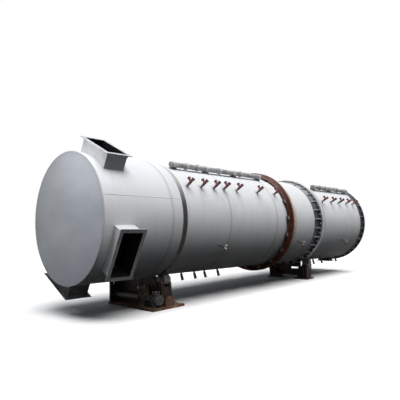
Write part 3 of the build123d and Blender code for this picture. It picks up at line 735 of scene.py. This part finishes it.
# fillet weld round the foot of a duct on the curved shell
def footWeld(name, angle, middle, reach, weld, steps=8):
    spread = [weld["halfCross"] * (i / steps - 1) for i in range(2 * steps + 1)]
    ring = [(weld["halfAlong"] * way, -cross * way) for way in (-1, 1) for cross in spread]
    data = bpy.data.curves.new(name, "CURVE")
    data.dimensions = "3D"
    data.bevel_depth = weld["size"]
    data.bevel_resolution = 2
    line = data.splines.new("POLY")
    line.points.add(len(ring) - 1)
    for point, (along, cross) in zip(line.points, ring):
        foot = around(middle + along, angle, sqrt(reach * reach - cross * cross))
        point.co = (*(foot + radial(angle + 90) * cross), 1)
    line.use_cyclic_u = True
    data.materials.append(ductPaint)
    piece = addObject(name, data)
    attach(piece, "drum")


ductWeld = {"halfAlong": 0.193, "halfCross": 0.3905, "size": 0.009}
chuteWeld = {"halfAlong": 0.108, "halfCross": 0.178, "size": 0.008}
for label, angle in (("top", 0), ("side", 90), ("bottom", 180)):
    footWeld(label + "_duct_weld", angle, mouths["middle"], kiln["head"], ductWeld)
footWeld("chute_weld", mouths["chuteTurn"], mouths["chute"], kiln["shell"], chuteWeld)
print("welds made")

# bolted joint: closer-set gusset plates in place of the plain ones, tapering from the flange to their toe
gussets = {"count": 30, "thick": 0.014,
           "outline": ((4.66, 1.1125), (4.888, 1.1125), (4.888, 1.169), (4.858, 1.169), (4.66, 1.1225))}
bm = bmesh.new()
for angle in evenly(gussets["count"]):
    side = radial(angle + 90) * gussets["thick"]
    addPlate(bm, [around(x, angle, r) - side / 2 for x, r in gussets["outline"]], side)
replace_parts(newPiece("joint_gusset_set", bm, ribPaint, "drum"), "joint_gussets")

# a bright bolt in each bay, nuts behind
jointBolts = {"reach": 1.149, "faces": ((4.888, -1), (5.008, 1)), "size": 0.017}
bm = bmesh.new()
for angle in evenly(gussets["count"], shift=0.5):
    for x, way in jointBolts["faces"]:
        addBolt(bm, onRing(x, angle, jointBolts["reach"], way), jointBolts["size"])
newPiece("joint_bolts", bm, boltSteel, "drum")

# rear flange: bright spot faces round its open bolt holes
spots = {"count": 20, "reach": 1.136, "front": 7.625, "steps": 14,
         "profile": ((0.0112, -0.002), (0.021, -0.002), (0.019, 0.004), (0.0112, 0.004))}
bm = bmesh.new()
for angle in evenly(spots["count"], shift=0.5):
    spinRing(bm, spots["profile"], onRing(spots["front"], angle, spots["reach"], -1), spots["steps"])
newPiece("end_spot_faces", bm, boltSteel, "drum")

# girth gear: dark web behind the lugs as painted shade in the gaps, bolts on the lugs' side blocks
gearFit = {"shadeWeb": (3.452, 3.462), "low": 1.098, "high": 1.1365, "steps": 128,
           "count": 18, "blockX": 3.332, "blockTop": 1.16, "size": 0.013, "spread": 0.021}
bm = bmesh.new()
# painted shade: a dark sheet closing the gaps behind the lugs
spinRing(bm, flatRing(gearFit["low"], gearFit["high"], *gearFit["shadeWeb"]), drumFrame, gearFit["steps"])
newPiece("gear_shade_web", bm, lugPaint, "drum")
bm = bmesh.new()
for angle in evenly(gearFit["count"]):
    for side in (-1, 1):
        beside = radial(angle + 90) * gearFit["spread"] * side
        seat = around(gearFit["blockX"], angle, gearFit["blockTop"]) + beside
        addBolt(bm, frameFrom(seat, axisDir, radial(angle)), gearFit["size"])
newPiece("lug_bolts", bm, boltSteel, "drum")

# header pipes: pale straps over the saddles, bolted pipe joints between them, capped ends
header = {"reach": 1.186, "pipe": 0.054, "runs": ((0.16, 3.09, 0, 4), (5.33, 7.45, 8, 3)),
          "inset": 0.04, "saddle": 0.11, "steps": 28,
          "cap": ((0, 0.01), (0.03, 0.009), (0.046, 0.004),
                  (0.0535, -0.006), (0.0565, -0.03), (0.0535, -0.032))}
strap = {"half": 0.01125, "shift": 0.03, "clear": 0.0005, "thick": 0.006, "ear": (0.0225, 0.026, 0.008),
         "earBevel": 0.002, "earOut": 0.012, "earDrop": 0.006, "bolt": 0.007}
pipeJoint = {"bayShares": ((0.36, 0.71), (0.46,), (0.26,)), "flange": 0.068, "inner": 0.002, "outer": 0.019,
             "bolts": 6, "boltReach": 0.061, "bolt": 0.0055}


def addStrap(bm, pipe, x, angle):
    inner, outer = header["pipe"] + strap["clear"], header["pipe"] + strap["thick"]
    spinRing(bm, flatRing(inner, outer, x - strap["half"], x + strap["half"]), pipe, header["steps"])
    for side in (-1, 1):
        out = radial(angle + 90) * (header["pipe"] + strap["earOut"]) * side
        seat = around(x, angle, header["reach"] - strap["earDrop"]) + out
        addBar(bm, strap["ear"], frameFrom(seat, axisDir, radial(angle)), bevel=strap["earBevel"])
        top = seat + radial(angle) * strap["ear"][2] / 2
        addBolt(bm, frameFrom(top, axisDir, radial(angle)), strap["bolt"])


def addPipeJoint(rings, bolts, pipe, x):
    inner, outer = pipeJoint["inner"], pipeJoint["outer"]
    for start, end in ((x - outer, x - inner), (x + inner, x + outer)):
        spinRing(rings, flatRing(header["pipe"], pipeJoint["flange"], start, end), pipe, header["steps"])
    for k in range(pipeJoint["bolts"]):
        turn = k * 2 * pi / pipeJoint["bolts"]
        right, up = cos(turn) * pipeJoint["boltReach"], sin(turn) * pipeJoint["boltReach"]
        addBolt(bolts, pipe @ at(right, up, x + outer), pipeJoint["bolt"])


straps = bmesh.new()
joints = bmesh.new()
for start, end, angle, count in header["runs"]:
    pipe = frameFrom(around(0, angle, header["reach"]), radial(angle), axisDir)
    spacing = (end - start - 2 * header["inset"] - header["saddle"]) / (count - 1)
    for i in range(count):
        middle = start + header["inset"] + header["saddle"] / 2 + i * spacing
        for shift in (-strap["shift"], strap["shift"]):
            addStrap(straps, pipe, middle + shift, angle)
        for share in pipeJoint["bayShares"][i] if i + 1 < count else ():
            addPipeJoint(straps, joints, pipe, middle + spacing * share)
    for x, way in ((start, -1), (end, 1)):
        spinRing(joints, [(r, x + out * way) for r, out in header["cap"]], pipe, header["steps"])
newPiece("header_straps", straps, strapPaint, "drum")
newPiece("header_joints", joints, headerPaint, "drum")

# weld collars at the feet of the nozzle fittings: angle of the row, places along it, radius of the stub
nozzles = {"rows": ((29.5, (0.227, 0.601, 0.968, 1.271, 1.687, 2.415, 3.089), 0.02),
                    (33.5, (5.35, 5.85, 6.322, 6.796, 7.228), 0.02),
                    (90, (1.042, 3.973, 6.354), 0.011),
                    (135, (0.601, 0.968, 1.271, 1.687, 5.85, 6.322, 7.228), 0.02)),
           "collar": ((0, -0.006), (0.016, -0.006), (0.014, 0.006), (0.004, 0.014), (0, 0.015)), "steps": 20}
bm = bmesh.new()
for angle, places, stub in nozzles["rows"]:
    for x in places:
        foot = frameFrom(around(x, angle, kiln["shell"]), axisDir, radial(angle))
        spinRing(bm, [(stub + out, rise) for out, rise in nozzles["collar"]], foot, nozzles["steps"])
newPiece("nozzle_collars", bm, headerPaint, "drum")
print("drum fittings made")

# rollers: worn bright rims and hub rings; bearings: bolted end covers and foot bolts
rollers = {"front": (-0.0202, 0.4996, 0.526), "rear": (5.1423, 0.5385, 0.4512), "half": 0.06,
           "rim": ((0.098, -0.004), (0.1135, -0.004), (0.1125, 0.0025), (0.1, 0.0025)), "rimSteps": 48,
           "hub": ((0.041, -0.004), (0.066, -0.004), (0.063, 0.004), (0.041, 0.004)), "hubSteps": 32}
bearings = {"start": 0.068, "end": 0.123, "steps": 32,
            "cover": ((0.0415, -0.003), (0.061, -0.003), (0.061, 0.006), (0.056, 0.009), (0.0415, 0.009)),
            "coverBolts": (6, (0.051, 0, 0.009), 0.005),
            "footOut": 0.0725, "footDrop": 0.049, "footBolt": 0.0065}
for station in ("front", "rear"):
    x, y, z = rollers[station]
    covers = bmesh.new()
    bolts = bmesh.new()
    for label, side in (("near", -1), ("far", 1)):
        centre = Vector((x, y * side, z))
        bm = bmesh.new()
        for way in (-1, 1):
            face = frameFrom(centre + axisDir * rollers["half"] * way, upDir, axisDir * way)
            spinRing(bm, rollers["rim"], face, rollers["rimSteps"])
            spinRing(bm, rollers["hub"], face, rollers["hubSteps"])
            cover = frameFrom(centre + axisDir * bearings["end"] * way, upDir, axisDir * way)
            spinRing(covers, bearings["cover"], cover, bearings["steps"])
            addBoltCircle(bolts, cover, *bearings["coverBolts"])
            footX = x + (bearings["start"] + bearings["end"]) / 2 * way
            for out in (-bearings["footOut"], bearings["footOut"]):
                addBolt(bolts, at(footX, y * side + out, z - bearings["footDrop"]), bearings["footBolt"])
        newPiece(station + "_roller_rims_" + label, bm, rollerRim, station + "_roller_" + label)
    newPiece(station + "_bearing_covers", covers, bearingPaint, "stations")
    newPiece(station + "_bearing_bolts", bolts, boltSteel, "stations")


# corners of a sheet across the kiln, level below and cut to clear the drum above
def sheetCorners(x, near, far, low, reach, steps=24):
    spread = [far + (near - far) * i / steps for i in range(steps + 1)]
    top = [(x, y, onAxis(x).z - sqrt(reach ** 2 - y * y)) for y in spread]
    return [(x, near, low), (x, far, low)] + top


# front station: sheet guard behind the drive, close under the drum, with a return to the post
guard = {"x": -0.172, "thick": 0.008, "near": -0.462, "far": 0.6185, "low": 0.0455, "reach": 1.136,
         "postX": -0.346, "postTop": 0.6, "foldGap": 0.0005}
bm = bmesh.new()
sheet = sheetCorners(guard["x"], guard["near"], guard["far"], guard["low"], guard["reach"])
addPlate(bm, sheet, (guard["thick"], 0, 0))
fold = flatRing(guard["postX"], guard["x"] - guard["foldGap"], guard["low"], guard["postTop"])
addPlate(bm, [(x, guard["far"], z) for x, z in fold], (0, -guard["thick"], 0))
newPiece("drive_guard", bm, standPaint, "stations")

# sheet behind the rollers, and a cap that raises the outboard post
backGuard = {"x": 0.126, "thick": 0.006, "half": 0.43, "low": 0.0455, "reach": 1.119,
             "cap": (0.088, 0.036, 0.058), "capPlace": (-0.3885, 0.6386, 0.4142), "capBevel": 0.004}
bm = bmesh.new()
half = backGuard["half"]
sheet = sheetCorners(backGuard["x"], -half, half, backGuard["low"], backGuard["reach"])
addPlate(bm, sheet, (backGuard["thick"], 0, 0))
addBar(bm, backGuard["cap"], at(*backGuard["capPlace"]), bevel=backGuard["capBevel"])
newPiece("roller_guard", bm, standPaint, "stations")

# rear station: sheet on the tie beam, cut to the tyre, with a hand slot
rearGuard = {"thick": 0.006, "half": 0.36, "low": 0.2315, "reach": 1.129,
             "slot": (-0.275, -0.055, 0.262, 0.314)}
half = rearGuard["half"]
sheetX = rollers["rear"][0] + rearGuard["thick"] / 2
bm = bmesh.new()
addLoop(bm, sheetCorners(sheetX, -half, half, rearGuard["low"], rearGuard["reach"]))
addLoop(bm, [(sheetX, y, z) for y, z in flatRing(*rearGuard["slot"])])
bmesh.ops.triangle_fill(bm, edges=bm.edges[:], use_beauty=True)
bmesh.ops.recalc_face_normals(bm, faces=bm.faces)
bmesh.ops.solidify(bm, geom=bm.faces[:], thickness=rearGuard["thick"])
newPiece("rear_guard", bm, standPaint, "stations")

# stiffening ribs, leaning on the front stands and upright before the pedestals
frontRibs = {"size": (0.014, 0.03, 0.3), "shift": 0.075, "beside": 0.088, "height": 0.26, "lean": 0.07}
rearRibs = {"size": (0.066, 0.014, 0.3), "shift": 0.045, "before": 0.125, "inside": 0.075, "height": 0.194,
            "bevel": 0.002}
bm = bmesh.new()
for side in (-1, 1):
    x, y, z = rollers["front"]
    lean = Matrix.Rotation(frontRibs["lean"] * side, 4, "X")
    for shift in (-frontRibs["shift"], frontRibs["shift"]):
        spot = at(x + shift, (y + frontRibs["beside"]) * side, frontRibs["height"])
        addBar(bm, frontRibs["size"], spot @ lean)
    x, y, z = rollers["rear"]
    for shift in (-rearRibs["shift"], rearRibs["shift"]):
        spot = at(x - rearRibs["before"], (y - rearRibs["inside"]) * side + shift, rearRibs["height"])
        addBar(bm, rearRibs["size"], spot, rearRibs["bevel"])
newPiece("stand_ribs", bm, standPaint, "stations")

# one large bolt on the outer face of each pedestal
pedestalBolt = {"shift": 0.02, "beside": 0.083, "height": 0.335, "tilt": 0.1, "size": 0.02}
bm = bmesh.new()
for side in (-1, 1):
    x, y, z = rollers["rear"]
    seat = Vector((x + pedestalBolt["shift"], (y + pedestalBolt["beside"]) * side, pedestalBolt["height"]))
    way = Vector((0, side, pedestalBolt["tilt"]))
    addBolt(bm, frameFrom(seat, Vector((1, 0, 0)), way), pedestalBolt["size"])
newPiece("pedestal_bolts", bm, boltSteel, "stations")

# drive: all of it in line on one shaft across the kiln
drive = {"x": -0.27, "z": 0.18, "motorEnd": -0.67, "motorMiddle": -0.585, "motorIn": -0.5,
         "reducerOut": -0.3, "reducerMiddle": -0.23, "reducerIn": -0.16, "top": 0.385, "postFace": 0.6206,
         "steps": 40}


def onShaft(y, way):
    return frameFrom(Vector((drive["x"], y, drive["z"])), Vector((0, 0, 1)), Vector((0, way, 0)))


# motor: fan cowl with spokes, flange, and bars as size, shift along the kiln, rise from the shaft and bevel
motor = {"cowl": ((0.101, -0.045), (0.101, 0), (0.095, 0.01), (0.082, 0.014), (0.082, 0.009),
                  (0.07, 0.009), (0.07, 0.015), (0.056, 0.016), (0.056, 0.01), (0.044, 0.01),
                  (0.044, 0.017), (0.026, 0.0175), (0, 0.018)),
         "spokes": 8, "spoke": (0.052, 0.006, 0.01), "spokePlace": (0.06, 0, 0.011), "spokeBevel": 0.0015,
         "flange": ((0.098, 0), (0.098, 0.016), (0.062, 0.02), (0.062, 0)),
         "box": ((0.095, 0.1, 0.052), -0.01, 0.115, 0.006),
         "lid": ((0.103, 0.108, 0.01), -0.01, 0.143, 0.003),
         "frontFoot": ((0.044, 0.12, 0.018), -0.08, -0.126, 0.004),
         "frontWeb": ((0.014, 0.11, 0.07), -0.062, -0.092, 0.003),
         "rearFoot": ((0.044, 0.12, 0.018), 0.08, -0.126, 0.004),
         "rearWeb": ((0.014, 0.11, 0.07), 0.062, -0.092, 0.003)}
bm = bmesh.new()
fanEnd = onShaft(drive["motorEnd"], -1)
spinRing(bm, motor["cowl"], fanEnd, drive["steps"])
for k in range(motor["spokes"]):
    addBar(bm, motor["spoke"], fanEnd @ turned(k, motor["spokes"], motor["spokePlace"]), motor["spokeBevel"])
for label in ("box", "lid", "frontFoot", "frontWeb", "rearFoot", "rearWeb"):
    size, shift, rise, bevel = motor[label]
    addBar(bm, size, at(drive["x"] + shift, drive["motorMiddle"], drive["z"] + rise), bevel)
spinRing(bm, motor["flange"], onShaft(drive["motorIn"], 1), drive["steps"])
newPiece("motor_cowl", bm, motorPaint, "stations")


def addFourBolts(bm, centre, spreadX, spreadY, size):
    for x in (-spreadX, spreadX):
        for y in (-spreadY, spreadY):
            addBolt(bm, centre @ at(x, y, 0), size)


# bolts of the motor's lid and flange and of the reducer's cover, with its breather and latch
fixings = {"lidShift": -0.01, "lidTop": 0.148, "lidBolts": (0.042, 0.047, 0.006),
           "coverTop": 0.014, "coverBolts": (0.044, 0.058, 0.008),
           "flangeBolts": (6, (0.08, 0, 0.016), 0.008, 0.3),
           "breatherX": 0.01, "breatherRises": (0.01, 0.045), "breather": (0.012, 16),
           "latchY": -0.15, "latch": ((0.03, 0.034, 0.052), -0.066, -0.006, 0.005),
           "hook": ((0.042, 0.02, 0.016), -0.048, 0.018, 0.004)}
bm = bmesh.new()
lidTop = at(drive["x"] + fixings["lidShift"], drive["motorMiddle"], drive["z"] + fixings["lidTop"])
addFourBolts(bm, lidTop, *fixings["lidBolts"])
addBoltCircle(bm, onShaft(drive["motorIn"], 1), *fixings["flangeBolts"])
coverTop = at(drive["x"], drive["reducerMiddle"], drive["top"] + fixings["coverTop"])
addFourBolts(bm, coverTop, *fixings["coverBolts"])
foot, top = [Vector((drive["x"] + fixings["breatherX"], drive["reducerMiddle"], drive["top"] + rise))
             for rise in fixings["breatherRises"]]
addRod(bm, foot, top, *fixings["breather"])
for size, shift, rise, bevel in (fixings["latch"], fixings["hook"]):
    addBar(bm, size, at(drive["x"] + shift, fixings["latchY"], drive["top"] + rise), bevel)
newPiece("drive_bolts", bm, boltSteel, "stations")

# reducer: cover plate, foot plate and input ring
reducer = {"cover": (0.126, 0.15, 0.016), "coverRise": 0.006,
           "foot": (0.16, 0.15, 0.024), "footHeight": 0.057, "bevel": 0.004,
           "ring": (0.06, 0.088, -0.012, 0)}
bm = bmesh.new()
coverHeight = drive["top"] + reducer["coverRise"]
for size, z in ((reducer["cover"], coverHeight), (reducer["foot"], reducer["footHeight"])):
    addBar(bm, size, at(drive["x"], drive["reducerMiddle"], z), reducer["bevel"])
spinRing(bm, flatRing(*reducer["ring"]), onShaft(drive["reducerOut"], 1), drive["steps"])
newPiece("reducer_covers", bm, reducerPaint, "stations")

# bolted collars at both ends of the cross shaft
collars = {"profile": ((0.066, 0), (0.094, 0), (0.094, 0.018),
                       (0.074, 0.022), (0.072, 0.05), (0.066, 0.052)),
           "bolts": (8, (0.083, 0, 0.02), 0.006)}
bm = bmesh.new()
for y, way in ((drive["reducerIn"], 1), (drive["postFace"], -1)):
    collar = onShaft(y, way)
    spinRing(bm, collars["profile"], collar, drive["steps"])
    addBoltCircle(bm, collar, *collars["bolts"])
newPiece("shaft_collars", bm, shaftPaint, "stations")
print("stations dressed")
